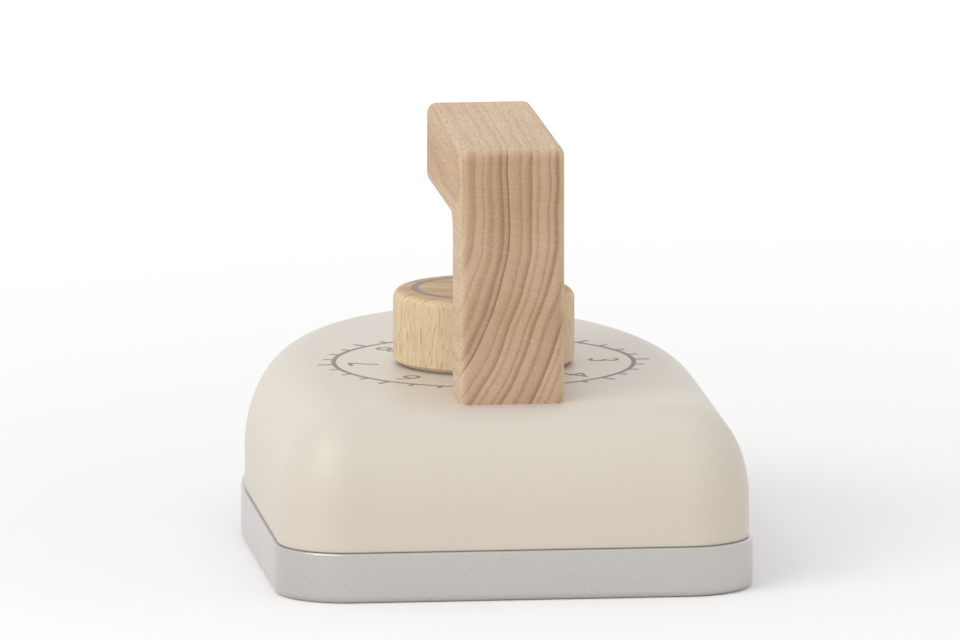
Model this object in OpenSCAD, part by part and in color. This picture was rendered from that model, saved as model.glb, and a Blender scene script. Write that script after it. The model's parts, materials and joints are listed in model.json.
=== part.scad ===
// Wooden toy iron: lacquered block on a silver sole, open beech handle, turning beech dial.
// The heel is at -Y, the nose at +Y, and the sole's face lies at Z = 0.

/* [Sole] */
// Width of the sole across the iron
sole_w = 100; // [85:1:120]
// Length of the sole from heel to nose
sole_l = 154; // [140:1:190]
// Thickness of the sole
sole_t = 10.5; // [9:0.5:16]
// Length of the curved nose, measured back from its tip
nose_l = 78; // [60:1:96]
// Radius of the two heel corners, seen from above
heel_r = 15; // [14:0.5:22]
// Radius of the sole's lower edge
sole_edge_r = 1.5; // [0.5:0.1:3]

/* [Block] */
// Thickness of the lacquered block
block_t = 28; // [24:0.5:36]
// How far the sole stands out beyond the block
lip_w = 0.8; // [0.2:0.1:3]
// How far the rounded top edge reaches in over the block
round_w = 13; // [6:0.5:13]
// How far the rounded top edge reaches down the side
round_h = 20; // [8:0.5:22]
// Size of the fine groove between block and sole
seam_w = 0.6; // [0.2:0.1:1.2]

/* [Handle] */
// Width of the handle, which is the thickness of its board
handle_w = 22; // [21:0.5:30]
// Height of the handle above the block
handle_h = 54; // [48:1:70]
// Length of the grip from the back of the post to its open end
grip_l = 64; // [50:1:72]
// Thickness of the grip
grip_t = 17; // [12:0.5:20]
// Thickness of the post from back to front
post_t = 15; // [14:0.5:20]
// Distance of the post from the heel
post_in = 16.5; // [14:0.5:20]
// Radius of the grip's outer corners, seen from the side
handle_corner_r = 3; // [2.5:0.5:7]
// Radius of the inner corner between post and grip
handle_inner_r = 3; // [2:0.5:8]
// Radius that eases the handle's long edges
handle_ease_r = 2; // [0.5:0.1:2.4]

/* [Dial] */
// Diameter of the dial
dial_d = 38; // [30:0.5:42]
// Height of the dial
dial_h = 15.2; // [14:0.1:20]
// Distance of the dial's axis from the heel
dial_in = 70; // [60:0.5:80]
// Radius of the dial's upper edge
dial_edge_r = 2; // [0.5:0.1:4]
// Size of the fine chamfer on the dial's lower edge
dial_foot_c = 0.6; // [0.2:0.1:1.5]

/* [Dial fixings] */
// Diameter of the dial's screw
dial_screw_d = 5; // [4:0.5:6]
// Length of the dial's screw under its head
dial_screw_l = 30; // [29:1:32]
// Diameter of the dial screw's head
dial_head_d = 9.5; // [8:0.5:11]
// Height of the dial screw's head
dial_head_h = 3.6; // [3:0.1:5]
// Depth of the pocket for that head
dial_pocket_h = 9; // [8:0.5:9]
// Outer diameter of the threaded insert
insert_d = 8; // [7:0.5:10]
// Length of the threaded insert
insert_l = 10; // [8:0.5:11]
// Outer diameter of the nylon bush
bush_d = 8; // [7:0.5:9]
// Outer diameter of the washer above the head
head_washer_d = 12; // [10:0.5:13]
// Thickness of that washer
head_washer_t = 1; // [0.6:0.1:1.4]
// Outer diameter of the slip washer under the dial
slip_washer_d = 34; // [14:1:36]
// Thickness of the slip washer
slip_washer_t = 0.5; // [0.4:0.1:1.2]

/* [Handle fixings] */
// Diameter of the handle's screw
handle_screw_d = 4; // [3:0.5:4.5]
// Length of the handle's screw under its head
handle_screw_l = 45; // [40:1:50]
// Diameter of the handle screw's head
handle_head_d = 7.6; // [6.5:0.1:8.5]
// Height of the handle screw's head
handle_head_h = 2.8; // [2:0.1:3.5]
// Depth of the pocket for that head
handle_pocket_h = 9; // [7:0.5:10]
// Outer diameter of that screw's washer
handle_washer_d = 9; // [8.5:0.1:10]
// Thickness of that screw's washer
handle_washer_t = 0.8; // [0.5:0.1:1.2]
// Diameter of the handle's dowels
handle_dowel_d = 6; // [5:0.5:6]
// Length of the handle's dowels
handle_dowel_l = 24; // [18:1:30]
// Distance of each handle dowel from the side of the handle
handle_dowel_in = 4.7; // [4.4:0.1:5]

/* [Sole fixings] */
// Diameter of the sole's dowels
sole_dowel_d = 8; // [6:0.5:10]
// Length of the sole's dowels, half in the block and half in the sole
sole_dowel_l = 14; // [10:1:14]
// Distance of the heel dowels from the sides
sole_dowel_side_in = 18; // [18:1:26]
// Distance of the heel dowels from the heel
sole_dowel_heel_in = 24; // [20:1:30]
// Distance of the nose dowel from the tip of the nose
sole_dowel_nose_in = 38; // [30:1:44]

/* [Clearances] */
// Radial play of the dial's screw in its bush
bush_play = 0.05; // [0.02:0.01:0.09]
// Play of the dial along its axis, under it and above the screw's head
dial_play = 0.1; // [0.05:0.05:0.2]
// Radial room round a screw in a washer or a plain hole
hole_room = 0.2; // [0.1:0.05:0.4]
// Radial room round a washer in its pocket
pocket_room = 0.5; // [0.3:0.1:0.6]
// Room for glue past the end of each dowel and each screw
glue_room = 0.5; // [0.3:0.1:1]

/* [Hidden] */

cream = "#e4ded3";
silver = "#bcbec4";
beech = "#d3b08a";
dark_beech = "#b98f6b";
brass = "#c8a24a";
steel = "#9a9da3";
nylon = "#f0efe9";

// Facets round a bore or a turned piece, a heel corner, the nose and a rounded edge
turned_fn = 96;
heel_steps = 10;
nose_steps = 32;
round_steps = 14;
ease_steps = 5;
corner_steps = 8;
// Least radius left where a rounded edge meets a corner
least_r = 0.4;
// How far every cut runs past the face that it opens
overrun = 1;

half_w = sole_w / 2;
heel_y = -sole_l / 2;
nose_y = sole_l / 2 - nose_l;
block_z = sole_t;
deck_z = sole_t + block_t;
// The rounded edge stays inside the heel corner and below the groove
deck_in = lip_w + min(round_w, heel_r - lip_w - least_r);
round_down = min(round_h, block_t - 2 * seam_w);

post_y = heel_y + post_in;
post_mid_y = post_y + post_t / 2;
grip_under_z = deck_z + handle_h - grip_t;
handle_top_z = deck_z + handle_h;
ease_r = min(handle_ease_r, handle_corner_r - least_r);

dial_y = heel_y + dial_in;
dial_z = deck_z + slip_washer_t + dial_play;
dial_roof_z = block_z + dial_pocket_h;
dial_seat_z = dial_roof_z - head_washer_t;
dial_head_z = dial_seat_z - dial_play;
dial_screw_tip_z = dial_head_z + dial_screw_l;
// The slip washer stays hidden under the dial
slip_d = min(slip_washer_d, dial_d - 2 * dial_edge_r);

handle_roof_z = block_z + handle_pocket_h;
handle_seat_z = handle_roof_z - handle_washer_t;
handle_screw_tip_z = handle_seat_z + handle_screw_l;

handle_dowel_x = handle_w / 2 - handle_dowel_in;
sole_dowel_x = half_w - sole_dowel_side_in;
sole_dowel_y = heel_y + sole_dowel_heel_in;
sole_dowel_tip_y = sole_l / 2 - sole_dowel_nose_in;

// Unit vector along v
function unit(v) = v / norm(v);

// One heel corner of the plan, as pairs of a point and its outward direction
function heel_corner() = [
    for (i = [0 : heel_steps])
        let (out = [cos(90 * i / heel_steps - 90), sin(90 * i / heel_steps - 90)])
        [[half_w - heel_r, heel_y + heel_r] + heel_r * out, out]
];

// One half of the nose, a quarter of an ellipse, as pairs of a point and its outward direction
function nose_curve() = [
    for (i = [0 : nose_steps])
        let (a = 90 * i / nose_steps)
        [[half_w * cos(a), nose_y + nose_l * sin(a)], unit([nose_l * cos(a), half_w * sin(a)])]
];

// Plan of the iron, drawn in from the edge of the sole, counter-clockwise from the heel
function plan(inset) =
    let (right = [for (p = concat(heel_corner(), nose_curve())) p[0] - inset * p[1]])
    concat(right, [for (i = [len(right) - 2 : -1 : 0]) [-right[i].x, right[i].y]]);

// The plan at one height
function plan_ring(inset, z) = [for (p = plan(inset)) [p.x, p.y, z]];

// Rings that round an edge: it comes in by w and rises by h, starting at inset and z
function rounded_edge(inset, z, w, h, steps) = [
    for (i = [0 : steps])
        let (a = 90 * i / steps)
        plan_ring(inset + w * (1 - cos(a)), z + h * sin(a))
];

// Closed solid through rings of equally many points, each counter-clockwise seen from the last ring's end.
// Each end is closed by a ladder between the two halves of its ring, from its first and last points inward.
module loft(rings) {
    n = len(rings[0]);
    last = len(rings) - 1;
    ladder = [for (i = [0 : ceil(n / 2) - 2])
        let (j = n - 1 - i)
        each concat([[i, i + 1, j]], i + 1 < j - 1 ? [[i + 1, j - 1, j]] : [])
    ];
    walls = [for (k = [0 : last - 1], i = [0 : n - 1])
        let (j = (i + 1) % n)
        each [
            [k * n + i, (k + 1) * n + i, (k + 1) * n + j],
            [k * n + i, (k + 1) * n + j, k * n + j],
        ]
    ];
    polyhedron(
        points = [for (ring = rings) each ring],
        faces = concat(
            ladder,
            [for (f = ladder) [last * n + f[2], last * n + f[1], last * n + f[0]]],
            walls
        ),
        convexity = 4
    );
}

// Round rod or bore from one height to another
module rod(d, z0, z1) {
    translate([0, 0, z0]) cylinder(d = d, h = z1 - z0, $fn = turned_fn);
}

// Flat ring that lies on height z
module washer(d, hole_d, t, z) {
    difference() {
        rod(d, z, z + t);
        rod(hole_d, z - overrun, z + t + overrun);
    }
}

// Pan-head screw that points up, with the underside of its head at height z
module screw(d, l, head_d, head_h, z) {
    crown_r = head_h / 2;
    rod(d, z, z + l);
    translate([0, 0, z]) mirror([0, 0, 1]) rotate_extrude($fn = turned_fn) union() {
        square([head_d / 2, head_h - crown_r]);
        square([head_d / 2 - crown_r, head_h]);
        translate([head_d / 2 - crown_r, head_h - crown_r]) intersection() {
            circle(r = crown_r, $fn = turned_fn);
            square([crown_r, crown_r]);
        }
    }
}

// Places of the dial, the handle's dowels and the sole's dowels
module at_dial() { translate([0, dial_y, 0]) children(); }
module at_post() { translate([0, post_mid_y, 0]) children(); }
module at_handle_dowel(side) { translate([side * handle_dowel_x, post_mid_y, 0]) children(); }
module at_heel_dowel(side) { translate([side * sole_dowel_x, sole_dowel_y, 0]) children(); }
module at_nose_dowel() { translate([0, sole_dowel_tip_y, 0]) children(); }

// A dowel, or with more room its hole, half below height z and half above it
module dowel(d, l, z, room = 0) {
    rod(d, z - l / 2 - room, z + l / 2 + room);
}

module handle_dowels(room = 0) {
    for (side = [-1, 1]) at_handle_dowel(side) dowel(handle_dowel_d, handle_dowel_l, deck_z, room);
}

module sole_dowels(room = 0) {
    for (side = [-1, 1]) at_heel_dowel(side) dowel(sole_dowel_d, sole_dowel_l, block_z, room);
    at_nose_dowel() dowel(sole_dowel_d, sole_dowel_l, block_z, room);
}

// Block with the plan of an iron and its top edge rounded over all round
module body_block() {
    color(cream) difference() {
        loft(concat(
            [plan_ring(lip_w + seam_w, block_z), plan_ring(lip_w, block_z + seam_w)],
            rounded_edge(lip_w, deck_z - round_down, deck_in - lip_w, round_down, round_steps)
        ));
        at_dial() {
            rod(head_washer_d + 2 * pocket_room, block_z - overrun, dial_roof_z);
            rod(bush_d, block_z, deck_z + overrun);
        }
        at_post() {
            rod(handle_washer_d + 2 * pocket_room, block_z - overrun, handle_roof_z);
            rod(handle_screw_d + 2 * hole_room, block_z, deck_z + overrun);
        }
        handle_dowels(glue_room);
        sole_dowels(glue_room);
    }
}

// Plate of the same plan, a lip wider than the block, with its edges rounded
module sole_plate() {
    top_edge_r = seam_w;
    color(silver) difference() {
        loft(concat(
            [for (i = [0 : ease_steps])
                let (a = 90 * i / ease_steps)
                plan_ring(sole_edge_r * (1 - sin(a)), sole_edge_r * (1 - cos(a)))],
            rounded_edge(0, sole_t - top_edge_r, top_edge_r, top_edge_r, ease_steps)
        ));
        sole_dowels(glue_room);
    }
}

// Points on an arc round a centre in the side view
function side_arc(centre, r, from, to) = [
    for (i = [0 : corner_steps])
        let (a = from + (to - from) * i / corner_steps)
        centre + r * [cos(a), sin(a)]
];

// Side view of the handle, a 7 that stands on the block, with all but its foot drawn in by inset
function handle_side(inset) =
    let (
        back = post_y + handle_corner_r,
        front = post_y + grip_l - handle_corner_r,
        top = handle_top_z - handle_corner_r,
        outer = handle_corner_r - inset
    )
    concat(
        [[post_y + post_t - inset, deck_z]],
        side_arc([post_y + post_t + handle_inner_r, grip_under_z - handle_inner_r],
            handle_inner_r + inset, 180, 90),
        side_arc([front, grip_under_z + handle_corner_r], outer, -90, 0),
        side_arc([front, top], outer, 0, 90),
        side_arc([back, top], outer, 90, 180),
        [[post_y + inset, deck_z]]
    );

// That side view at one distance from the middle
function handle_ring(inset, x) = [for (p = handle_side(inset)) [x, p.x, p.y]];

// Handle cut from one board, with eased edges
module handle() {
    flat = handle_w / 2 - ease_r;
    left = [for (i = [0 : ease_steps])
        let (a = 90 * i / ease_steps)
        handle_ring(ease_r * (1 - sin(a)), -flat - ease_r * cos(a))];
    right = [for (i = [0 : ease_steps])
        let (a = 90 * i / ease_steps)
        handle_ring(ease_r * (1 - cos(a)), flat + ease_r * sin(a))];
    color(beech) difference() {
        loft(concat(left, right));
        at_post() rod(handle_screw_d, deck_z - overrun, handle_screw_tip_z + glue_room);
        handle_dowels(glue_room);
    }
}

// Turned dial with a rounded upper edge and a chamfered foot
module dial_knob() {
    r = dial_d / 2;
    top_z = dial_z + dial_h;
    bore_top_z = max(dial_z + insert_l, dial_screw_tip_z) + glue_room;
    at_dial() color(dark_beech) difference() {
        rotate_extrude($fn = turned_fn) union() {
            translate([0, dial_z]) polygon([
                [0, 0], [r - dial_foot_c, 0], [r, dial_foot_c],
                [r, dial_h - dial_edge_r], [r - dial_edge_r, dial_h - dial_edge_r],
                [r - dial_edge_r, dial_h], [0, dial_h],
            ]);
            translate([r - dial_edge_r, top_z - dial_edge_r]) intersection() {
                circle(r = dial_edge_r, $fn = turned_fn);
                square([dial_edge_r, dial_edge_r]);
            }
        }
        rod(insert_d, dial_z - overrun, dial_z + insert_l);
        rod(dial_screw_d, dial_z, bore_top_z);
    }
}

module dial_insert() {
    at_dial() color(brass) washer(insert_d, dial_screw_d, insert_l, dial_z);
}

module dial_screw() {
    at_dial() color(steel) screw(dial_screw_d, dial_screw_l, dial_head_d, dial_head_h, dial_head_z);
}

module dial_bush() {
    at_dial() color(nylon)
        washer(bush_d, dial_screw_d + 2 * bush_play, deck_z - dial_roof_z, dial_roof_z);
}

module dial_slip_washer() {
    at_dial() color(nylon)
        washer(slip_d, dial_screw_d + 2 * hole_room, slip_washer_t, deck_z);
}

module dial_head_washer() {
    at_dial() color(steel)
        washer(head_washer_d, dial_screw_d + 2 * hole_room, head_washer_t, dial_seat_z);
}

module handle_screw() {
    at_post() color(steel)
        screw(handle_screw_d, handle_screw_l, handle_head_d, handle_head_h, handle_seat_z);
}

module handle_screw_washer() {
    at_post() color(steel)
        washer(handle_washer_d, handle_screw_d + 2 * hole_room, handle_washer_t, handle_seat_z);
}

module handle_dowel(side) {
    at_handle_dowel(side) color(beech) dowel(handle_dowel_d, handle_dowel_l, deck_z);
}

module heel_dowel(side) {
    at_heel_dowel(side) color(beech) dowel(sole_dowel_d, sole_dowel_l, block_z);
}

module nose_dowel() {
    at_nose_dowel() color(beech) dowel(sole_dowel_d, sole_dowel_l, block_z);
}

body_block();
sole_plate();
handle();
dial_knob();
dial_insert();
dial_screw();
dial_bush();
dial_slip_washer();
dial_head_washer();
handle_screw();
handle_screw_washer();
handle_dowel(-1);  // handle_dowel_left
handle_dowel(1);  // handle_dowel_right
heel_dowel(-1);  // sole_dowel_heel_left
heel_dowel(1);  // sole_dowel_heel_right
nose_dowel();  // sole_dowel_nose
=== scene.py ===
"""Looks of a wooden toy iron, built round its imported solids. Lengths are in metres."""

import json
from math import cos, radians, sin

import bmesh
import bpy
from bpy.props import (
    FloatProperty, FloatVectorProperty, IntProperty, PointerProperty, StringProperty)
from bpy.types import Operator, Panel, PropertyGroup
from mathutils import Matrix, Vector


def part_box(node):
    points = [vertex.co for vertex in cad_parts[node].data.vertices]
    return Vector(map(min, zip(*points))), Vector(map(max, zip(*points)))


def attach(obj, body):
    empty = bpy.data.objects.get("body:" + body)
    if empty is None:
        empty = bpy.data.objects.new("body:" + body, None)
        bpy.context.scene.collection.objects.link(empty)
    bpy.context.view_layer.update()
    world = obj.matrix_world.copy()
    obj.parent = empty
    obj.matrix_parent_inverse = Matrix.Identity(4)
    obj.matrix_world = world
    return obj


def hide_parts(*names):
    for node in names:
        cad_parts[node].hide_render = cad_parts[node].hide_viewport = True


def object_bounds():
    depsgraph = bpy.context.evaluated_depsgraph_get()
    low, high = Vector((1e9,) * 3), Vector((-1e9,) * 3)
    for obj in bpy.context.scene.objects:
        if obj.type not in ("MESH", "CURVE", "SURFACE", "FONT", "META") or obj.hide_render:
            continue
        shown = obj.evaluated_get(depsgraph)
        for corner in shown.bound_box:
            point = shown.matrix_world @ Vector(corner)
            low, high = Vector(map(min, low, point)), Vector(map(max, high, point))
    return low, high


bl_info = {
    "name": "Wooden toy iron",
    "version": (1, 0, 0),
    "blender": (4, 5, 0),
    "location": "View3D > Sidebar > Toy iron",
    "description": "Dresses the packed solids of a wooden toy iron and sets up its studio",
    "category": "Object",
}

MM = 0.001

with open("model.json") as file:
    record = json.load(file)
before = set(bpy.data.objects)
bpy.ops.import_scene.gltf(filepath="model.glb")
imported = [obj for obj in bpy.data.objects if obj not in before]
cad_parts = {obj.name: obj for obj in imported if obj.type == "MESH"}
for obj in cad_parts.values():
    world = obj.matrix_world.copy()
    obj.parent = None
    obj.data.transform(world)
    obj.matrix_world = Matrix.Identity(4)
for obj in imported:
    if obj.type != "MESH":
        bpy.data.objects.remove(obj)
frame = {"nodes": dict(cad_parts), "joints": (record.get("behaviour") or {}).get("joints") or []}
CAD_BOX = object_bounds()
DIAL_AXIS = Vector(next(j["pos_m"] for j in frame["joints"] if j["name"] == "dial_turn"))
SOLE_LOW, SOLE_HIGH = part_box("sole_plate")
BLOCK_LOW, BLOCK_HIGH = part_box("body_block")
HANDLE_LOW, HANDLE_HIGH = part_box("handle")
DIAL_LOW, DIAL_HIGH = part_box("dial_knob")

# Facets of the curves, fine enough that no corner shows at the camera's scale: those of whole
# circles, then of the quarter circles in the plan and at the edges, then of a number's curves
TURNED_STEPS = 160
BORE_STEPS = 48
HEEL_STEPS = 20
NOSE_STEPS = 56
ROUND_STEPS = 22
SOLE_EDGE_STEPS = 6
SEAM_STEPS = 4
HANDLE_CORNER_STEPS = 14
EASE_STEPS = 8
DIAL_EDGE_STEPS = 10
CHAMFER_STEPS = 1
DIGIT_STEPS = 6
# How far a bore's cutter runs past the face that it opens
OVERRUN = 1 * MM
# Room round a washer, round a screw's shank and past a dowel's end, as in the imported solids
POCKET_ROOM = 0.5 * MM
SHANK_ROOM = 0.2 * MM
GLUE_ROOM = 0.5 * MM
# Shanks of the handle's screw and of the dial's screw
HANDLE_SHANK = 4 * MM
DIAL_SHANK = 5 * MM
HANDLE_DOWELS = ("handle_dowel_left", "handle_dowel_right")
SOLE_DOWELS = ("sole_dowel_heel_left", "sole_dowel_heel_right", "sole_dowel_nose")
# How far a coat of ink stands out
INK = 0.02 * MM
# A number's height as a share of its letter size, and the flag of a 1 as a share of that height
CAPITAL_SHARE = 0.7
FLAG_SHARE = 0.3
# Points nearer than this are the same point
SAME = 0.001 * MM
# Edges sharper than this, in degrees, stay sharp when a piece is shaded smooth
SHARP = 35
# How far the floor reaches from the iron on each side, past anything that a view shows
FLOOR_REACH = 30
# A mix node's colour output; its factor is socket 0, its numbers 2 and 3, its colours 6 and 7
COLOUR = 2


# Nodes


def linear(value):
    """Linear colour of an sRGB hex value."""
    channels = [int(value[i : i + 2], 16) / 255 for i in (1, 3, 5)]
    return tuple(c / 12.92 if c <= 0.04045 else ((c + 0.055) / 1.055) ** 2.4 for c in channels)


def rgba(colour, tone=1.0):
    """Colour for a node's socket, from a hex value or a linear colour, made lighter or darker by
    tone."""
    channels = linear(colour) if isinstance(colour, str) else colour
    return (*(tone * c for c in channels), 1)


def node(tree, kind, links=None, out=0, stops=(), **settings):
    """Adds a node with its settings and its sockets, and gives the output that the next node
    reads. A socket takes a number, a colour or another node's output. Stops are those of a colour
    ramp, each a position and a grey level or a colour."""
    made = tree.nodes.new(kind)
    for name, value in settings.items():
        setattr(made, name, value)
    for socket, value in (links or {}).items():
        if isinstance(value, bpy.types.NodeSocket):
            tree.links.new(value, made.inputs[socket])
        else:
            made.inputs[socket].default_value = value
    if stops:
        elements = made.color_ramp.elements
        while len(elements) < len(stops):
            elements.new(1)
        for element, (position, value) in zip(elements, stops):
            element.position = position
            grey = isinstance(value, (int, float))
            element.color = (value, value, value, 1) if grey else rgba(value)
    return made.outputs[out]


def start_material(name):
    """Empty node material, its tree and the piece's own coordinates in millimetres."""
    material = bpy.data.materials.new(name)
    material.use_nodes = True
    tree = material.node_tree
    tree.nodes.clear()
    place = node(tree, "ShaderNodeTexCoord", out="Object")
    in_mm = node(tree, "ShaderNodeVectorMath", {0: place, "Scale": 1 / MM}, operation="SCALE")
    return material, tree, in_mm


def end_material(material, tree, links):
    """Adds the shader with its sockets, and the output."""
    shader = node(tree, "ShaderNodeBsdfPrincipled", links)
    tree.links.new(shader, tree.nodes.new("ShaderNodeOutputMaterial").inputs["Surface"])
    return material


# Materials


def satin_lacquer(colour):
    """Satin cream lacquer, sprayed in thin coats on sanded wood: smooth, with a faint orange peel,
    a little cloudiness in its gloss, and a trace of the wood's grain under it."""
    material, tree, mm = start_material("satin lacquer on wood")
    cloud_mm, grain_mm, grain_length_mm, peel_mm = 24, 1.5, 50, 1.9
    cloud = node(tree, "ShaderNodeTexNoise", {"Vector": mm, "Scale": 1 / cloud_mm, "Detail": 4})
    tint = node(tree, "ShaderNodeMix", {0: cloud, 6: rgba(colour, 0.965), 7: rgba(colour, 1.02)},
                COLOUR, data_type="RGBA")
    grain = node(tree, "ShaderNodeVectorMath", {
        0: mm, 1: (1 / grain_mm, 1 / grain_length_mm, 1 / grain_mm)}, operation="MULTIPLY")
    grain = node(tree, "ShaderNodeTexNoise", {"Vector": grain, "Scale": 1, "Detail": 2})
    peel = node(tree, "ShaderNodeTexNoise", {"Vector": mm, "Scale": 1 / peel_mm, "Detail": 1})
    relief = node(tree, "ShaderNodeMix", {0: 0.5, 2: grain, 3: peel})
    bump = node(tree, "ShaderNodeBump", {"Strength": 0.5, "Distance": 0.05 * MM, "Height": relief})
    gloss = node(tree, "ShaderNodeMapRange", {"Value": cloud, "To Min": 0.34, "To Max": 0.46})
    return end_material(material, tree, {
        "Base Color": tint, "Roughness": gloss, "IOR": 1.5, "Normal": bump})


def silver_lacquer(colour):
    """Silver lacquer with fine metal flakes, under a satin clear coat: it mirrors broad lights and
    darks softly, and the flakes glitter a little."""
    material, tree, mm = start_material("silver metallic lacquer")
    # Real flakes measure 0.03 mm, too fine to show, so they are drawn ten times as wide
    flake_mm, cloud_mm = 0.3, 9
    flake = node(tree, "ShaderNodeTexVoronoi", {"Vector": mm, "Scale": 1 / flake_mm}, "Color")
    tone = node(tree, "ShaderNodeSeparateColor", {0: flake})
    tint = node(tree, "ShaderNodeMix", {0: tone, 6: rgba(colour, 0.96), 7: rgba(colour, 1.03)},
                COLOUR, data_type="RGBA")
    cloud = node(tree, "ShaderNodeTexNoise", {"Vector": mm, "Scale": 1 / cloud_mm, "Detail": 3})
    gloss = node(tree, "ShaderNodeMapRange", {"Value": cloud, "To Min": 0.27, "To Max": 0.37})
    bump = node(tree, "ShaderNodeBump", {"Strength": 0.35, "Distance": 0.02 * MM, "Height": tone})
    return end_material(material, tree, {
        "Base Color": tint, "Metallic": 0.85, "Roughness": gloss, "Normal": bump,
        "Coat Weight": 0.35, "Coat Roughness": 0.22})


def beech(name, along, pith, light, dark):
    """Steamed beech, sanded and oiled. Along is the axis that its grain follows, Y or Z, and pith
    the place of the tree's heart beside the plank, in millimetres. Long faces are pale, with fine
    streaks and short brown flecks; end faces are darker, with the year rings cut across and fine
    pale rays."""
    material, tree, mm = start_material(name)
    # The plank's own coordinates have its heart as origin and its grain along Y
    grain_along_y = {"Y": (0, 0, 0), "Z": (radians(-90), 0, 0)}[along]
    plank = node(tree, "ShaderNodeMapping", {
        "Vector": mm, "Rotation": grain_along_y, "Location": (-pith[0], 0, -pith[1])})

    # Year rings round a heart that wanders a little over the plank, some rings wider than others
    ring_mm, wander_mm, sway_mm, sway_length_mm, uneven_rings = 2.1, 7, 30, 160, 2.2
    slow = node(tree, "ShaderNodeVectorMath", {
        0: plank, 1: (1 / sway_mm, 1 / sway_length_mm, 1 / sway_mm)}, operation="MULTIPLY")
    drift = node(tree, "ShaderNodeTexNoise", {"Vector": slow, "Scale": 1, "Detail": 2}, "Color")
    drift = node(tree, "ShaderNodeVectorMath", {0: drift, 1: (0.5, 0.5, 0.5)},
                 operation="SUBTRACT")
    drift = node(tree, "ShaderNodeVectorMath", {
        0: drift, 1: (wander_mm, 0, wander_mm), 2: plank}, operation="MULTIPLY_ADD")
    across = node(tree, "ShaderNodeVectorMath", {0: drift, 1: (1, 0, 1)}, operation="MULTIPLY")
    radius = node(tree, "ShaderNodeVectorMath", {0: across}, "Value", operation="LENGTH")
    year = node(tree, "ShaderNodeMath", {0: radius, 1: 1 / ring_mm}, operation="MULTIPLY")
    uneven = node(tree, "ShaderNodeTexNoise", {"W": year, "Scale": 0.45, "Detail": 1},
                  noise_dimensions="1D")
    year = node(tree, "ShaderNodeMath", {0: uneven, 1: uneven_rings, 2: year},
                operation="MULTIPLY_ADD")

    # Each year's wood gets darker to its end, and each year is as dark as its own lot says
    late = node(tree, "ShaderNodeMath", {0: year}, operation="FRACT")
    late = node(tree, "ShaderNodeValToRGB", {0: late}, stops=[
        (0, 0.35), (0.1, 0.0), (0.5, 0.12), (0.9, 1.0), (1, 0.35)])
    count = node(tree, "ShaderNodeMath", {0: year}, operation="FLOOR")
    lot = node(tree, "ShaderNodeTexWhiteNoise", {"W": count}, "Value", noise_dimensions="1D")
    weight = node(tree, "ShaderNodeMapRange", {"Value": lot, "To Min": 0.35, "To Max": 1.0})
    late = node(tree, "ShaderNodeMath", {0: late, 1: weight}, operation="MULTIPLY")

    # Fine fibres, and short flecks, which are the rays seen from the side
    fibre_mm, fibre_length_mm, fleck_mm, fleck_length_mm = 0.5, 20, 0.42, 2.6
    fibre = node(tree, "ShaderNodeVectorMath", {
        0: plank, 1: (1 / fibre_mm, 1 / fibre_length_mm, 1 / fibre_mm)}, operation="MULTIPLY")
    fibre = node(tree, "ShaderNodeTexNoise", {
        "Vector": fibre, "Scale": 1, "Detail": 4, "Roughness": 0.6})
    fleck = node(tree, "ShaderNodeVectorMath", {
        0: plank, 1: (1 / fleck_mm, 1 / fleck_length_mm, 1 / fleck_mm)}, operation="MULTIPLY")
    fleck = node(tree, "ShaderNodeTexNoise", {"Vector": fleck, "Scale": 1, "Detail": 0})
    fleck = node(tree, "ShaderNodeValToRGB", {0: fleck}, stops=[(0.62, 0.0), (0.72, 1.0)])

    # Rays, seen on end faces as fine lines towards a heart some 90 mm away
    ray_mm, heart_mm = 0.7, 90
    side, _, up = node(tree, "ShaderNodeSeparateXYZ", {0: across}).node.outputs
    ray = node(tree, "ShaderNodeMath", {0: up, 1: side}, operation="ARCTAN2")
    ray = node(tree, "ShaderNodeMath", {0: ray, 1: heart_mm / ray_mm}, operation="MULTIPLY")
    ray = node(tree, "ShaderNodeTexNoise", {"W": ray, "Scale": 1, "Detail": 1},
               noise_dimensions="1D")
    ray = node(tree, "ShaderNodeValToRGB", {0: ray}, stops=[(0.5, 0.0), (0.68, 1.0)])

    # How far the surface faces along the grain, which is one on an end face
    end = node(tree, "ShaderNodeTexCoord", out="Normal")
    end = node(tree, "ShaderNodeVectorMath", {0: end, 1: [float(a == along) for a in "XYZ"]},
               "Value", operation="DOT_PRODUCT")
    end = node(tree, "ShaderNodeMath", {0: end}, operation="ABSOLUTE")
    end = node(tree, "ShaderNodeMapRange", {"Value": end, "From Min": 0.6, "From Max": 0.98})

    # Long faces: late wood, fibres and broad clouds, under brown flecks
    late_share, fibre_share, cloud_share = 0.26, 0.6, 0.5
    cloud = node(tree, "ShaderNodeTexNoise", {"Vector": slow, "Scale": 2.2, "Detail": 3})
    wood = node(tree, "ShaderNodeMath", {0: late, 1: late_share}, operation="MULTIPLY")
    wood = node(tree, "ShaderNodeMath", {0: fibre, 1: fibre_share, 2: wood},
                operation="MULTIPLY_ADD")
    wood = node(tree, "ShaderNodeMath", {0: cloud, 1: cloud_share, 2: wood},
                operation="MULTIPLY_ADD")
    wood = node(tree, "ShaderNodeValToRGB", {0: wood}, stops=[(0.4, light), (1.0, dark)])
    brown = node(tree, "ShaderNodeMapRange", {"Value": end, "To Min": 0.3, "To Max": 0.1})
    brown = node(tree, "ShaderNodeMath", {0: fleck, 1: brown}, operation="MULTIPLY")
    wood = node(tree, "ShaderNodeMix", {0: brown, 6: wood, 7: rgba("#8a6040")}, COLOUR,
                data_type="RGBA")

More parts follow.
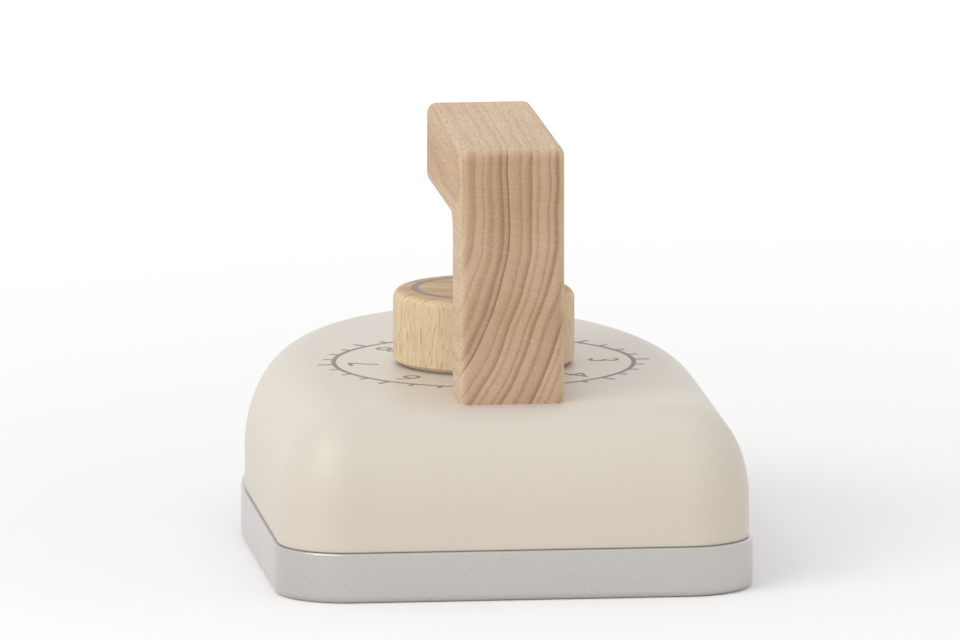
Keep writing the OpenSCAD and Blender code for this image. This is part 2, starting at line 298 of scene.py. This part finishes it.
    # End faces: the same, darkened by the year rings, under pale rays
    lot_share, ring_share, ray_share = 0.3, 0.7, 0.09
    cut = node(tree, "ShaderNodeMath", {0: lot, 1: lot_share}, operation="MULTIPLY")
    cut = node(tree, "ShaderNodeMath", {0: late, 1: ring_share, 2: cut},
               operation="MULTIPLY_ADD")
    cut = node(tree, "ShaderNodeValToRGB", {0: cut}, stops=[(0.0, "#f3ede9"), (0.9, "#bba193")])
    cut = node(tree, "ShaderNodeMix", {0: 1.0, 6: wood, 7: cut}, COLOUR, data_type="RGBA",
               blend_type="MULTIPLY")
    pale = node(tree, "ShaderNodeMath", {0: ray, 1: ray_share}, operation="MULTIPLY")
    cut = node(tree, "ShaderNodeMix", {0: pale, 6: cut, 7: rgba(light)}, COLOUR,
               data_type="RGBA")
    colour = node(tree, "ShaderNodeMix", {0: end, 6: wood, 7: cut}, COLOUR, data_type="RGBA")

    # Fibres stand out, late wood and flecks lie a little deeper
    height = node(tree, "ShaderNodeMath", {0: late, 1: -0.5, 2: fibre},
                  operation="MULTIPLY_ADD")
    height = node(tree, "ShaderNodeMath", {0: fleck, 1: -0.5, 2: height},
                  operation="MULTIPLY_ADD")
    bump = node(tree, "ShaderNodeBump", {"Strength": 0.5, "Distance": 0.08 * MM, "Height": height})
    rough = node(tree, "ShaderNodeMapRange", {"Value": fibre, "To Min": 0.62, "To Max": 0.8})
    return end_material(material, tree, {
        "Base Color": colour, "Roughness": rough, "IOR": 1.48, "Normal": bump})


def printing_ink(colour):
    """Screen-printing ink on lacquer: thin, matt and a little uneven where the screen left
    less."""
    material, tree, mm = start_material("screen printing ink")
    mesh_mm = 0.8
    cover = node(tree, "ShaderNodeTexNoise", {"Vector": mm, "Scale": 1 / mesh_mm, "Detail": 3})
    tint = node(tree, "ShaderNodeMix", {0: cover, 6: rgba(colour, 0.85), 7: rgba(colour, 1.2)},
                COLOUR, data_type="RGBA")
    rough = node(tree, "ShaderNodeMapRange", {"Value": cover, "To Min": 0.5, "To Max": 0.7})
    return end_material(material, tree, {"Base Color": tint, "Roughness": rough, "IOR": 1.5})


def zinc_steel():
    """Zinc-plated steel, as screws and washers come: grey, with the blue and yellow cast of the
    plating."""
    material, tree, mm = start_material("zinc plated steel")
    cast_mm = 4
    cast = node(tree, "ShaderNodeTexNoise", {"Vector": mm, "Scale": 1 / cast_mm, "Detail": 2})
    tint = node(tree, "ShaderNodeValToRGB", {0: cast}, stops=[
        (0.35, "#b9c2cc"), (0.5, "#c3c4c0"), (0.65, "#cfc8a8")])
    rough = node(tree, "ShaderNodeMapRange", {"Value": cast, "To Min": 0.28, "To Max": 0.42})
    return end_material(material, tree, {"Base Color": tint, "Metallic": 1.0, "Roughness": rough})


def turned_brass():
    """Brass turned on a lathe: yellow, with fine rings round its axis."""
    material, tree, mm = start_material("turned brass")
    ring_mm = 0.25
    rings = node(tree, "ShaderNodeVectorMath", {0: mm, 1: (0, 0, 1 / ring_mm)},
                 operation="MULTIPLY")
    rings = node(tree, "ShaderNodeTexNoise", {"Vector": rings, "Scale": 1, "Detail": 1})
    tint = node(tree, "ShaderNodeMix", {0: rings, 6: rgba("#c59a45"), 7: rgba("#dcb866")},
                COLOUR, data_type="RGBA")
    rough = node(tree, "ShaderNodeMapRange", {"Value": rings, "To Min": 0.22, "To Max": 0.36})
    return end_material(material, tree, {"Base Color": tint, "Metallic": 1.0, "Roughness": rough})


def natural_nylon():
    """Nylon moulded without pigment: milky white and a little waxy, with faint flow marks."""
    material, tree, mm = start_material("moulded natural nylon")
    flow_mm = 3
    flow = node(tree, "ShaderNodeTexNoise", {"Vector": mm, "Scale": 1 / flow_mm, "Detail": 2})
    tint = node(tree, "ShaderNodeMix", {0: flow, 6: rgba("#e2dfd2"), 7: rgba("#efede4")},
                COLOUR, data_type="RGBA")
    rough = node(tree, "ShaderNodeMapRange", {"Value": flow, "To Min": 0.4, "To Max": 0.5})
    return end_material(material, tree, {"Base Color": tint, "Roughness": rough, "IOR": 1.53})


def background_seen(tree):
    """One where the background is looked at, directly, in gloss or through something clear, and
    zero where it only lights the object."""
    path = node(tree, "ShaderNodeLightPath").node.outputs
    seen = node(tree, "ShaderNodeMath", {0: path["Is Camera Ray"], 1: path["Is Glossy Ray"]},
                operation="MAXIMUM")
    return node(tree, "ShaderNodeMath", {0: seen, 1: path["Is Transmission Ray"]},
                operation="MAXIMUM")


def studio_paper(colour, lift):
    """Matt background paper. It lights the object with its own pale colour. To the camera and in
    reflections it is white and keeps the shadow, and away from the object a little light of its
    own makes up for the lamp's fall-off."""
    material, tree, mm = start_material("studio paper")
    cloud_mm, near_mm, far_mm = 40, 100, 1200
    cloud = node(tree, "ShaderNodeTexNoise", {"Vector": mm, "Scale": 1 / cloud_mm, "Detail": 2})
    tint = node(tree, "ShaderNodeMix", {0: cloud, 6: rgba(colour, 0.99), 7: rgba(colour)},
                COLOUR, data_type="RGBA")
    seen = background_seen(tree)
    tint = node(tree, "ShaderNodeMix", {0: seen, 6: tint, 7: rgba("#ffffff")}, COLOUR,
                data_type="RGBA")
    away = node(tree, "ShaderNodeVectorMath", {0: mm}, "Value", operation="LENGTH")
    glow = node(tree, "ShaderNodeMapRange", {
        "Value": away, "From Min": near_mm, "From Max": far_mm, "To Min": 0.05, "To Max": lift})
    glow = node(tree, "ShaderNodeMath", {0: seen, 1: glow}, operation="MULTIPLY")
    return end_material(material, tree, {
        "Base Color": tint, "Roughness": 0.9, "Specular IOR Level": 0.0,
        "Emission Color": rgba("#ffffff"), "Emission Strength": glow})


# Mesh


def extrude(bm, faces, way):
    """Extrudes flat faces and gives the faces at the new end."""
    made = bmesh.ops.extrude_face_region(bm, geom=faces)["geom"]
    bmesh.ops.translate(bm, verts=[g for g in made if isinstance(g, bmesh.types.BMVert)], vec=way)
    return [g for g in made if isinstance(g, bmesh.types.BMFace)]


def bevel(bm, edges, offset, segments):
    """Rounds edges with a true quarter circle."""
    bmesh.ops.bevel(bm, geom=edges, offset=offset, offset_type="OFFSET", segments=segments,
                    profile=0.5, affect="EDGES", clamp_overlap=False, material=-1)


def at_height(bm, z):
    """Edges that lie at one height."""
    return [e for e in bm.edges if all(abs(v.co.z - z) < SAME for v in e.verts)]


def on_circle(bm, axis, radius, z):
    """Edges of a level circle round an upright axis."""
    return [e for e in at_height(bm, z) if all(
        abs((v.co - axis).to_2d().length - radius) < SAME for v in e.verts)]


def at_corner(bm, y, z):
    """Edges that run from left to right at one place."""
    return [e for e in bm.edges if all(
        abs(v.co.y - y) < SAME and abs(v.co.z - z) < SAME for v in e.verts)]


def iron_plan(bm, heel_r, nose_l, z, inset):
    """Face with the plan of the iron at height z: two heel corners and a nose, drawn in by
    inset."""
    half_w, heel_y, tip_y = SOLE_HIGH.x, SOLE_LOW.y, SOLE_HIGH.y
    # One quarter turn makes the heel corner, another the nose, which is then stretched
    corner = bm.verts.new((half_w - heel_r, heel_y, z))
    bmesh.ops.spin(bm, geom=[corner], cent=(half_w - heel_r, heel_y + heel_r, z), axis=(0, 0, 1),
                   angle=radians(90), steps=HEEL_STEPS)
    nose_y = tip_y - nose_l
    side = bm.verts.new((half_w, nose_y, z))
    bmesh.ops.spin(bm, geom=[side], cent=(0, nose_y, z), axis=(0, 0, 1), angle=radians(90),
                   steps=NOSE_STEPS)
    bmesh.ops.scale(bm, vec=(1, nose_l / half_w, 1), space=Matrix.Translation((0, -nose_y, 0)),
                    verts=[v for v in bm.verts if v.co.y > nose_y])
    heel_end = next(v for v in bm.verts if abs(v.co.y - heel_y - heel_r) < SAME)
    bm.edges.new((heel_end, side))
    bmesh.ops.mirror(bm, geom=bm.verts[:] + bm.edges[:], axis="X", merge_dist=SAME)
    bm.edges.new([v for v in bm.verts if abs(v.co.y - heel_y) < SAME])
    face = bmesh.ops.contextual_create(bm, geom=bm.edges[:])["faces"]
    if face[0].normal.z < 0:
        bmesh.ops.reverse_faces(bm, faces=face)
    if inset:
        rim = bmesh.ops.inset_region(bm, faces=face, thickness=inset, use_boundary=True,
                                     use_even_offset=True)["faces"]
        bmesh.ops.delete(bm, geom=rim, context="FACES")
    return face


def turn(bm, axis):
    """Turns an open outline into a closed solid round the upright axis."""
    bmesh.ops.spin(bm, geom=bm.verts[:] + bm.edges[:], cent=axis, axis=(0, 0, 1),
                   angle=radians(360), steps=TURNED_STEPS, use_merge=True)
    bmesh.ops.remove_doubles(bm, verts=bm.verts[:], dist=SAME)
    bmesh.ops.recalc_face_normals(bm, faces=bm.faces[:])


def bore(bm, x, y, z0, z1, diameter):
    """Adds a round cutter, on its axis at x and y, from one height to another."""
    bmesh.ops.create_cone(
        bm, cap_ends=True, segments=BORE_STEPS, radius1=diameter / 2, radius2=diameter / 2,
        depth=z1 - z0, matrix=Matrix.Translation((x, y, (z0 + z1) / 2)))


def width_and_axis(name):
    """Width of a packed round piece, and its axis at x and y."""
    low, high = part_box(name)
    middle = (low + high) / 2
    return high.x - low.x, middle.x, middle.y


def under_bore(washer):
    """Bore from under the block for a screw's head and the washer above it."""
    width, x, y = width_and_axis(washer)
    return x, y, BLOCK_LOW.z - OVERRUN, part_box(washer)[1].z, width + 2 * POCKET_ROOM


def through_bore(bush):
    """Bore that a bush fills, open to the deck."""
    width, x, y = width_and_axis(bush)
    return x, y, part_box(bush)[0].z - SAME, BLOCK_HIGH.z + OVERRUN, width


def shank_bore(screw, room):
    """Bore for a screw's shank, from the block's lower pocket to past the screw's tip."""
    _, x, y = width_and_axis(screw)
    return x, y, BLOCK_LOW.z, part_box(screw)[1].z + GLUE_ROOM, HANDLE_SHANK + 2 * room


def dowel_bore(dowel):
    """Bore for a glued dowel, with room for glue at both ends."""
    width, x, y = width_and_axis(dowel)
    low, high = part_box(dowel)
    return x, y, low.z - GLUE_ROOM, high.z + GLUE_ROOM, width


def printed(bm, verts, z):
    """Makes a flat print a coat of ink that stands out above height z and holds on below it."""
    faces = [f for f in bm.faces if all(v in verts for v in f.verts)]
    for face in faces:
        if face.normal.z < 0:
            face.normal_flip()
    bmesh.ops.translate(bm, verts=list(verts), vec=(0, 0, z - INK))
    extrude(bm, faces, (0, 0, 2 * INK))


def print_ring(bm, radius, line, z):
    """Prints a ring round the dial's axis."""
    ring = [bm.verts.new(DIAL_AXIS + Vector((radius + half, 0, 0)))
            for half in (-line / 2, line / 2)]
    edge = bm.edges.new(ring)
    bmesh.ops.spin(bm, geom=ring + [edge], cent=DIAL_AXIS, axis=(0, 0, 1), angle=radians(360),
                   steps=TURNED_STEPS, use_merge=True)
    for v in bm.verts:
        v.co.z = 0
    printed(bm, set(bm.verts), z)


def print_tick(bm, angle, start, length, line, z):
    """Prints a radial tick, at an angle in degrees counter-clockwise from +X."""
    before = set(bm.verts)
    bmesh.ops.create_grid(bm, x_segments=1, y_segments=1, size=0.5)
    made = [v for v in bm.verts if v not in before]
    place = (Matrix.Translation((DIAL_AXIS.x, DIAL_AXIS.y, 0))
             @ Matrix.Rotation(radians(angle), 4, "Z")
             @ Matrix.Translation((start + length / 2, 0, 0))
             @ Matrix.Diagonal((length, line, 1, 1)))
    bmesh.ops.transform(bm, matrix=place, verts=made)
    printed(bm, set(made), z)


def print_digit(bm, digit, angle, radius, height, z):
    """Prints a number whose foot points to the dial's axis."""
    text = bpy.data.curves.new("digit", "FONT")
    text.body, text.size = digit, height / CAPITAL_SHARE
    text.align_x, text.align_y = "CENTER", "CENTER"
    text.fill_mode, text.resolution_u = "FRONT", DIGIT_STEPS
    shape = bpy.data.objects.new("digit", text)
    mesh = bpy.data.meshes.new_from_object(shape)
    place = (Matrix.Translation((DIAL_AXIS.x, DIAL_AXIS.y, 0))
             @ Matrix.Rotation(radians(angle - 90), 4, "Z")
             @ Matrix.Translation((0, radius, 0)))
    width = 2 * max(v.co.x for v in mesh.vertices)
    mesh.transform(place)
    before = set(bm.verts)
    bm.from_mesh(mesh)
    bpy.data.objects.remove(shape)
    printed(bm, set(bm.verts) - before, z)
    if digit == "1":
        # The font's 1 is a plain bar, so a stroke as wide as the bar gives it a flag at its head
        flag = height * FLAG_SHARE
        before = set(bm.verts)
        bmesh.ops.create_grid(
            bm, x_segments=1, y_segments=1, size=0.5,
            matrix=place @ Matrix.Translation((-flag / 3, height / 2 - flag / 2, 0))
            @ Matrix.Rotation(radians(45), 4, "Z") @ Matrix.Diagonal((flag, width, 1, 1)))
        printed(bm, set(bm.verts) - before, z + INK / 2)


def put(name, bm):
    """Puts a bmesh into the scene as an object."""
    mesh = bpy.data.meshes.new(name)
    bm.to_mesh(mesh)
    bm.free()
    made = bpy.data.objects.new(name, mesh)
    bpy.context.scene.collection.objects.link(made)
    return made


def piece(name, bm, material, body, bores=()):
    """Makes a smooth-shaded piece from a bmesh, with its bores cut, and lets it ride on its
    body."""
    bmesh.ops.remove_doubles(bm, verts=bm.verts[:], dist=SAME)
    bmesh.ops.recalc_face_normals(bm, faces=bm.faces[:])
    made = put(name, bm)
    for sizes in bores:
        tool = bmesh.new()
        bore(tool, *sizes)
        cutter = put("cutter", tool)
        cut = made.modifiers.new("bore", "BOOLEAN")
        cut.object, cut.operation, cut.solver = cutter, "DIFFERENCE", "EXACT"
        graph = bpy.context.evaluated_depsgraph_get()
        made.data = bpy.data.meshes.new_from_object(made.evaluated_get(graph))
        made.modifiers.clear()
        bpy.data.objects.remove(cutter)
    made.data.name = name
    made.data.shade_smooth()
    made.data.set_sharp_from_angle(angle=radians(SHARP))
    made.data.materials.clear()
    made.data.materials.append(material)
    even = made.modifiers.new("even shading", "WEIGHTED_NORMAL")
    even.keep_sharp = True
    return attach(made, body)


def dress(name, material):
    """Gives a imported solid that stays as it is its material."""
    solid = frame["nodes"][name]
    solid.data.materials.clear()
    solid.data.materials.append(material)


# Sizes and colours


class ToyIronBody(PropertyGroup):
    heel_radius: FloatProperty(
        name="Heel radius", description="Radius of the two heel corners, seen from above",
        default=15 * MM, unit="LENGTH")
    nose_length: FloatProperty(
        name="Nose length", description="Length of the curved nose",
        default=78 * MM, unit="LENGTH")
    lip: FloatProperty(
        name="Lip", description="How far the sole stands out beyond the block",
        default=0.8 * MM, unit="LENGTH")
    round_in: FloatProperty(
        name="Rounding in", description="How far the rounded top edge reaches in over the block",
        default=13 * MM, unit="LENGTH")
    round_down: FloatProperty(
        name="Rounding down", description="How far the rounded top edge reaches down the side",
        default=20 * MM, unit="LENGTH")
    seam: FloatProperty(
        name="Seam", description="Size of the fine groove between block and sole",
        default=0.4 * MM, unit="LENGTH")
    sole_edge: FloatProperty(
        name="Sole edge", description="Radius of the sole's lower edge",
        default=1.5 * MM, unit="LENGTH")
    lacquer: FloatVectorProperty(
        name="Lacquer", description="Colour of the block's lacquer",
        default=linear("#dfd8cc"), subtype="COLOR", min=0, max=1)
    silver: FloatVectorProperty(
        name="Silver", description="Colour of the sole's metallic lacquer",
        default=linear("#c5c1be"), subtype="COLOR", min=0, max=1)


class ToyIronHandle(PropertyGroup):
    post: FloatProperty(
        name="Post", description="Thickness of the post from back to front",
        default=15 * MM, unit="LENGTH")
    grip: FloatProperty(
        name="Grip", description="Thickness of the grip",
        default=17 * MM, unit="LENGTH")
    outer_radius: FloatProperty(
        name="Outer radius", description="Radius of the grip's outer corners, seen from the side",
        default=3 * MM, unit="LENGTH")
    inner_radius: FloatProperty(
        name="Inner radius", description="Radius of the corner between post and grip",
        default=3 * MM, unit="LENGTH")
    ease: FloatProperty(
        name="Ease", description="Radius that eases the long edges",
        default=2 * MM, unit="LENGTH")
    wood_pale: FloatVectorProperty(
        name="Pale wood", description="Colour of the handle's beech at its palest",
        default=linear("#e1cbaf"), subtype="COLOR", min=0, max=1)
    wood_deep: FloatVectorProperty(
        name="Deep wood", description="Colour of the handle's beech at its deepest",
        default=linear("#c09c78"), subtype="COLOR", min=0, max=1)


class ToyIronDial(PropertyGroup):
    edge: FloatProperty(
        name="Edge", description="Radius of the dial's upper edge",
        default=2 * MM, unit="LENGTH")
    foot: FloatProperty(
        name="Foot", description="Chamfer on the dial's lower edge",
        default=0.6 * MM, unit="LENGTH")
    wood_pale: FloatVectorProperty(
        name="Pale wood", description="Colour of the dial's beech at its palest",
        default=linear("#ead5b3"), subtype="COLOR", min=0, max=1)
    wood_deep: FloatVectorProperty(
        name="Deep wood", description="Colour of the dial's beech at its deepest",
        default=linear("#d3b189"), subtype="COLOR", min=0, max=1)
    ring_radius: FloatProperty(
        name="Ring radius", description="Radius of the printed ring round the dial",
        default=31.5 * MM, unit="LENGTH")
    line: FloatProperty(
        name="Line", description="Width of the printed lines",
        default=1 * MM, unit="LENGTH")
    ticks: IntProperty(
        name="Ticks", description="Number of printed ticks round the whole ring",
        default=32, min=4)
    tick: FloatProperty(
        name="Tick", description="Length of a plain tick",
        default=1.8 * MM, unit="LENGTH")
    long_tick: FloatProperty(
        name="Long tick", description="Length of the tick at each number",
        default=3 * MM, unit="LENGTH")
    digits: StringProperty(
        name="Numbers",
        description="Plain numbers printed round the dial, clockwise from the nose",
        default="12345678")
    digit_height: FloatProperty(
        name="Number height", description="Height of the printed numbers",
        default=6.5 * MM, unit="LENGTH")
    rim_radius: FloatProperty(
        name="Rim radius", description="Radius of the ring printed on the dial's top",
        default=14.5 * MM, unit="LENGTH")
    rim_line: FloatProperty(
        name="Rim line",
        description="Width of the ring and the pointer printed on the dial's top",
        default=1.5 * MM, unit="LENGTH")
    pointer: FloatProperty(
        name="Pointer", description="Length of the pointer printed on the dial's top",
        default=6 * MM, unit="LENGTH")
    ink: FloatVectorProperty(
        name="Ink", description="Colour of the printed marks",
        default=linear("#908b86"), subtype="COLOR", min=0, max=1)


class ToyIronStage(PropertyGroup):
    azimuth: FloatProperty(
        name="Azimuth", description="Direction the camera looks from, round the iron",
        default=radians(-6.4), subtype="ANGLE")
    elevation: FloatProperty(
        name="Elevation", description="Height of the camera above the horizon",
        default=radians(9.45), subtype="ANGLE")
    distance: FloatProperty(
        name="Distance", description="Distance of the camera from the iron",
        default=4.9, unit="LENGTH")
    lens: FloatProperty(
        name="Lens", description="Focal length of the camera in millimetres",
        default=875)
    sky: FloatProperty(
        name="Sky", description="Strength of the even light from all round",
        default=0.735)
    key: FloatProperty(
        name="Key", description="Power of the large soft lamp at the upper front left, in watts",
        default=10.4)
    key_place: FloatVectorProperty(
        name="Key place", description="Place of the lamp, which points at the iron",
        default=(-1.1, -1.0, 1.2), subtype="TRANSLATION", unit="LENGTH")
    key_width: FloatProperty(
        name="Key width", description="Width of the lamp's soft box",
        default=1.3, unit="LENGTH")
    key_height: FloatProperty(
        name="Key height", description="Height of the lamp's soft box",
        default=0.9, unit="LENGTH")
    paper: FloatVectorProperty(
        name="Paper", description="Colour of the pale floor, as it lights the object",
        default=linear("#f0e7da"), subtype="COLOR", min=0, max=1)
    lift: FloatProperty(
        name="Lift", description="Light that the far floor adds to itself where it is seen",
        default=0.42)


# Pieces


class TOYIRON_OT_sole(Operator):
    """Make the silver sole plate"""

    bl_idname = "toyiron.sole"
    bl_label = "Sole"

    def execute(self, context):
        size = context.scene.toy_iron_body
        bm = bmesh.new()
        face = iron_plan(bm, size.heel_radius, size.nose_length, SOLE_LOW.z, 0)
        extrude(bm, face, (0, 0, SOLE_HIGH.z - SOLE_LOW.z))
        bevel(bm, at_height(bm, SOLE_LOW.z), size.sole_edge, SOLE_EDGE_STEPS)
        bevel(bm, at_height(bm, SOLE_HIGH.z), size.seam, SEAM_STEPS)
        bores = [dowel_bore(n) for n in SOLE_DOWELS]
        sole = piece("sole", bm, silver_lacquer(size.silver), "iron", bores)
        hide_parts("sole_plate")
        return {"FINISHED"}


class TOYIRON_OT_block(Operator):
    """Make the lacquered block with its rounded top edge"""

    bl_idname = "toyiron.block"
    bl_label = "Block"

    def execute(self, context):
        size = context.scene.toy_iron_body
        shoulder = BLOCK_HIGH.z - size.round_down
        bm = bmesh.new()
        face = iron_plan(bm, size.heel_radius, size.nose_length, BLOCK_LOW.z, size.lip)
        extrude(bm, face, (0, 0, shoulder + size.round_in - BLOCK_LOW.z))
        bevel(bm, at_height(bm, shoulder + size.round_in), size.round_in, ROUND_STEPS)
        # The round edge is stretched downwards into a quarter of an ellipse
        bmesh.ops.scale(
            bm, vec=(1, 1, size.round_down / size.round_in),
            space=Matrix.Translation((0, 0, -shoulder)),
            verts=[v for v in bm.verts if v.co.z > shoulder + SAME])
        bevel(bm, at_height(bm, BLOCK_LOW.z), size.seam, SEAM_STEPS)
        bores = [
            under_bore("dial_head_washer"),
            through_bore("dial_bush"),
            under_bore("handle_screw_washer"),
            shank_bore("handle_screw", SHANK_ROOM),
            *(dowel_bore(n) for n in HANDLE_DOWELS + SOLE_DOWELS)]
        block = piece("block", bm, satin_lacquer(size.lacquer), "iron", bores)
        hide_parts("body_block")
        return {"FINISHED"}


class TOYIRON_OT_handle(Operator):
    """Make the beech handle, a 7 cut from one plank with eased edges"""

    bl_idname = "toyiron.handle"
    bl_label = "Handle"

    def execute(self, context):
        size = context.scene.toy_iron_handle
        low, high = HANDLE_LOW, HANDLE_HIGH
        front, under = low.y + size.post, high.z - size.grip
        bm = bmesh.new()
        corners = [
            bm.verts.new((low.x, y, z)) for y, z in (
                (front, low.z), (front, under), (high.y, under),
                (high.y, high.z), (low.y, high.z), (low.y, low.z))]
        side = bm.faces.new(corners)
        extrude(bm, [side], (high.x - low.x, 0, 0))
        across = [e for e in bm.edges if abs(e.verts[0].co.x - e.verts[1].co.x) > SAME]
        inner = at_corner(bm, front, under)
        outer = [e for e in across if e not in inner and e.verts[0].co.z > low.z + SAME]
        bevel(bm, outer, size.outer_radius, HANDLE_CORNER_STEPS)
        bevel(bm, at_corner(bm, front, under), size.inner_radius, HANDLE_CORNER_STEPS)
        long_edges = [
            e for e in bm.edges
            if abs(e.verts[0].co.x - e.verts[1].co.x) < SAME
            and not all(abs(v.co.z - low.z) < SAME for v in e.verts)]
        bevel(bm, long_edges, size.ease, EASE_STEPS)
        bores = [shank_bore("handle_screw", 0), *(dowel_bore(n) for n in HANDLE_DOWELS)]
        wood = beech("beech plank, grain along the grip", along="Y", pith=(-89, 90),
                     light=size.wood_pale, dark=size.wood_deep)
        handle = piece("grip_and_post", bm, wood, "iron", bores)
        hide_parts("handle")
        return {"FINISHED"}


class TOYIRON_OT_dial(Operator):
    """Make the turned beech dial, with the bore for its insert and screw"""

    bl_idname = "toyiron.dial"
    bl_label = "Dial"

    def execute(self, context):
        size = context.scene.toy_iron_dial
        insert_low, insert_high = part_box("dial_insert")
        bore_top = insert_high.z + GLUE_ROOM
        radius, insert_r = (DIAL_HIGH.x - DIAL_LOW.x) / 2, (insert_high.x - insert_low.x) / 2
        bm = bmesh.new()
        outline = [
            bm.verts.new((r, DIAL_AXIS.y, z)) for r, z in (
                (0, bore_top), (DIAL_SHANK / 2, bore_top), (DIAL_SHANK / 2, insert_high.z),
                (insert_r, insert_high.z), (insert_r, DIAL_LOW.z), (radius, DIAL_LOW.z),
                (radius, DIAL_HIGH.z), (0, DIAL_HIGH.z))]
        for a, b in zip(outline, outline[1:]):
            bm.edges.new((a, b))
        turn(bm, DIAL_AXIS)
        bevel(bm, on_circle(bm, DIAL_AXIS, radius, DIAL_HIGH.z), size.edge, DIAL_EDGE_STEPS)
        bevel(bm, on_circle(bm, DIAL_AXIS, radius, DIAL_LOW.z), size.foot, CHAMFER_STEPS)
        wood = beech("turned beech, grain upright", along="Z", pith=(8, -50),
                     light=size.wood_pale, dark=size.wood_deep)
        dial = piece("dial", bm, wood, "dial")
        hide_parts("dial_knob")
        return {"FINISHED"}


class TOYIRON_OT_marks(Operator):
    """Print ring, ticks and plain numbers round the dial, and the dial's own ring and pointer"""

    bl_idname = "toyiron.marks"
    bl_label = "Printed marks"

    def execute(self, context):
        size = context.scene.toy_iron_dial
        ink = printing_ink(size.ink)
        deck, top = BLOCK_HIGH.z, DIAL_HIGH.z
        bm = bmesh.new()
        print_ring(bm, size.ring_radius, size.line, deck)
        outside = size.ring_radius + size.line / 2
        for i in range(size.ticks):
            numbered = i % (size.ticks // len(size.digits)) == 0
            print_tick(bm, 90 - 360 * i / size.ticks, outside,
                       size.long_tick if numbered else size.tick, size.line, deck)
        inside = (size.ring_radius - size.line / 2 + (DIAL_HIGH.x - DIAL_LOW.x) / 2) / 2
        for i, digit in enumerate(size.digits):
            print_digit(bm, digit, 90 - 360 * i / len(size.digits), inside, size.digit_height,
                        deck)
        piece("dial_scale", bm, ink, "iron")

        bm = bmesh.new()
        print_ring(bm, size.rim_radius, size.rim_line, top)
        inner = size.rim_radius - size.rim_line / 2
        print_tick(bm, 90, inner - size.pointer, size.pointer, size.rim_line, top)
        piece("dial_mark", bm, ink, "dial")
        return {"FINISHED"}


class TOYIRON_OT_fixings(Operator):
    """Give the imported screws, washers, bush, insert and dowels their materials"""

    bl_idname = "toyiron.fixings"
    bl_label = "Fixings"

    def execute(self, context):
        steel, nylon, brass = zinc_steel(), natural_nylon(), turned_brass()
        dowel = beech("fluted dowel beech, grain upright", along="Z", pith=(9, 14),
                      light="#dcc3a0", dark="#bb956e")
        for name in ("dial_screw", "dial_head_washer", "handle_screw", "handle_screw_washer"):
            dress(name, steel)
        for name in ("dial_bush", "dial_slip_washer"):
            dress(name, nylon)
        dress("dial_insert", brass)
        for name in HANDLE_DOWELS + SOLE_DOWELS:
            dress(name, dowel)
        return {"FINISHED"}


class TOYIRON_OT_stage(Operator):
    """Set up the pale floor, the soft light and the camera"""

    bl_idname = "toyiron.stage"
    bl_label = "Stage"

    def execute(self, context):
        size = context.scene.toy_iron_stage
        scene = context.scene
        bm = bmesh.new()
        bmesh.ops.create_grid(bm, x_segments=1, y_segments=1, size=FLOOR_REACH)
        floor = put("floor", bm)
        floor.data.materials.append(studio_paper(size.paper, size.lift))

        lamp = bpy.data.lights.new("key", "AREA")
        lamp.shape, lamp.size, lamp.size_y = "RECTANGLE", size.key_width, size.key_height
        lamp.energy = size.key
        key = bpy.data.objects.new("key", lamp)
        key.location = size.key_place
        key.rotation_mode = "QUATERNION"
        key.rotation_quaternion = size.key_place.to_track_quat("Z", "Y")
        key.visible_camera = False
        scene.collection.objects.link(key)

        sky = bpy.data.worlds.new("sky")
        sky.use_nodes = True
        tree = sky.node_tree
        tree.nodes.clear()
        level = node(tree, "ShaderNodeMix", {0: background_seen(tree), 2: size.sky, 3: 1.0})
        light = node(tree, "ShaderNodeBackground", {"Color": rgba("#ffffff"), "Strength": level})
        tree.links.new(light, tree.nodes.new("ShaderNodeOutputWorld").inputs["Surface"])
        scene.world = sky

        lens = bpy.data.cameras.new("camera")
        lens.lens = size.lens
        camera = bpy.data.objects.new("camera", lens)
        camera.rotation_mode = "QUATERNION"
        away = Vector((
            sin(size.azimuth) * cos(size.elevation),
            -cos(size.azimuth) * cos(size.elevation),
            sin(size.elevation)))
        middle = (CAD_BOX[0] + CAD_BOX[1]) / 2
        camera.location = middle + away * size.distance
        camera.rotation_quaternion = away.to_track_quat("Z", "Y")
        scene.collection.objects.link(camera)
        scene.camera = camera
        scene.view_settings.view_transform = "Standard"
        return {"FINISHED"}


class TOYIRON_PT_panel(Panel):
    bl_idname = "TOYIRON_PT_panel"
    bl_label = "Toy iron"
    bl_space_type = "VIEW_3D"
    bl_region_type = "UI"
    bl_category = "Toy iron"

    def draw(self, context):
        for operator in OPERATORS:
            self.layout.operator(operator.bl_idname)
        for name, group in GROUPS.items():
            settings = getattr(context.scene, name)
            for key in group.__annotations__:
                self.layout.prop(settings, key)


GROUPS = {
    "toy_iron_body": ToyIronBody,
    "toy_iron_handle": ToyIronHandle,
    "toy_iron_dial": ToyIronDial,
    "toy_iron_stage": ToyIronStage,
}
OPERATORS = (
    TOYIRON_OT_sole, TOYIRON_OT_block, TOYIRON_OT_handle, TOYIRON_OT_dial, TOYIRON_OT_marks,
    TOYIRON_OT_fixings, TOYIRON_OT_stage)
CLASSES = (*GROUPS.values(), *OPERATORS, TOYIRON_PT_panel)


def register():
    for cls in CLASSES:
        bpy.utils.register_class(cls)
    for name, group in GROUPS.items():
        setattr(bpy.types.Scene, name, PointerProperty(type=group))


def unregister():
    for name in GROUPS:
        delattr(bpy.types.Scene, name)
    for cls in reversed(CLASSES):
        bpy.utils.unregister_class(cls)


def main():
    register()
    for operator in OPERATORS:
        group, action = operator.bl_idname.split(".")
        getattr(getattr(bpy.ops, group), action)()


if __name__ == "__main__":
    main()
